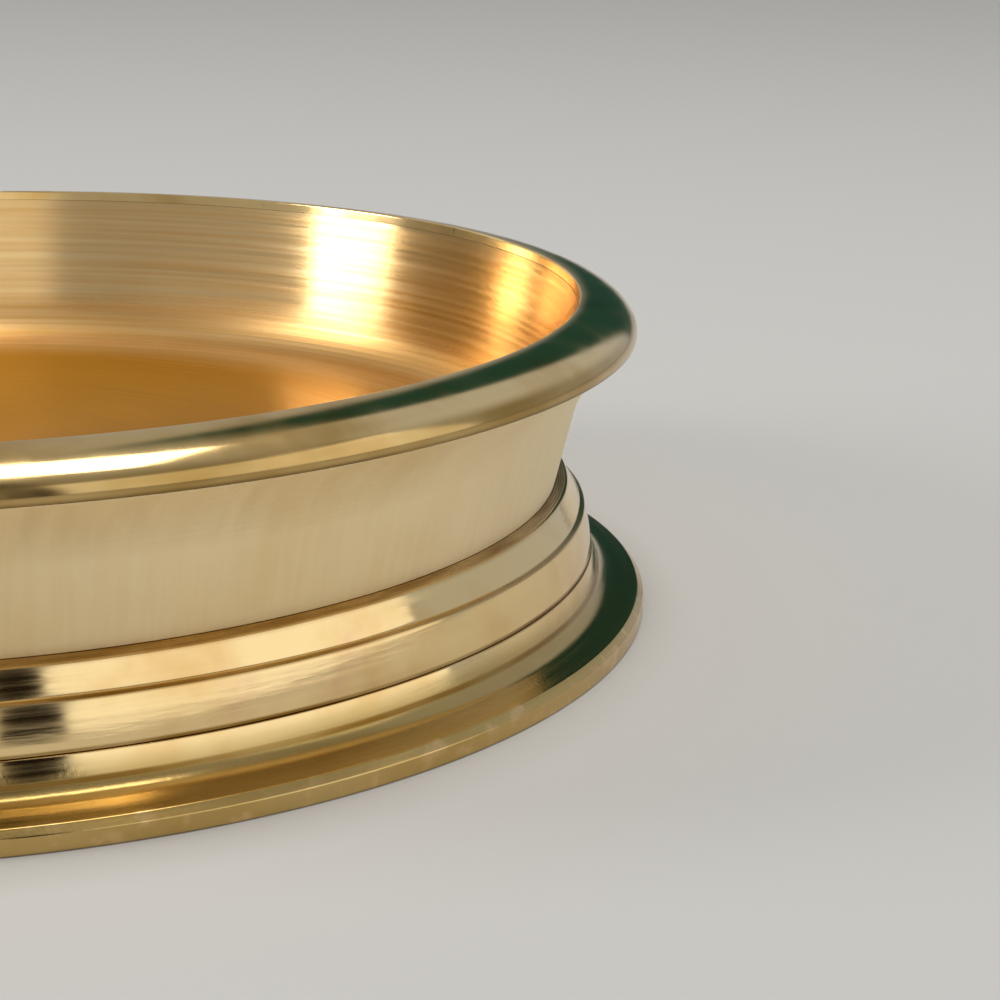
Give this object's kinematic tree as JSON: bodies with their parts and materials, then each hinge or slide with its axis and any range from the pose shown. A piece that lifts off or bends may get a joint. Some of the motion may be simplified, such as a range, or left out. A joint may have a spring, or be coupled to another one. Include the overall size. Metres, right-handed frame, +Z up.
{
  "type": "urli bowl",
  "caption": "Shallow round brass bowl with a flared polished lip, plain neck, stepped collar and wide flat foot, for floating flowers or as a serving bowl.",
  "frame": {"origin": "centre of the foot's resting face, on the table, under the bowl's axis", "axes": "+Z up along the bowl's axis of revolution; X and Y lie between the screws under the foot"},
  "size_m": [0.3, 0.3, 0.0647],
  "materials": {
    "satin_brass": "satin brass, turned with fine circumferential lines",
    "polished_brass": "mirror-polished turned brass",
    "fastener_brass": "plain machined brass screw, slightly dull"
  },
  "bodies": {
    "root": {"bowl_shell": "satin_brass", "rim_ring": "polished_brass", "stepped_collar": "polished_brass", "foot_ring": "polished_brass", "foot_screw_1": "fastener_brass", "foot_screw_2": "fastener_brass", "foot_screw_3": "fastener_brass", "foot_screw_4": "fastener_brass"}
  },
  "joints": []
}
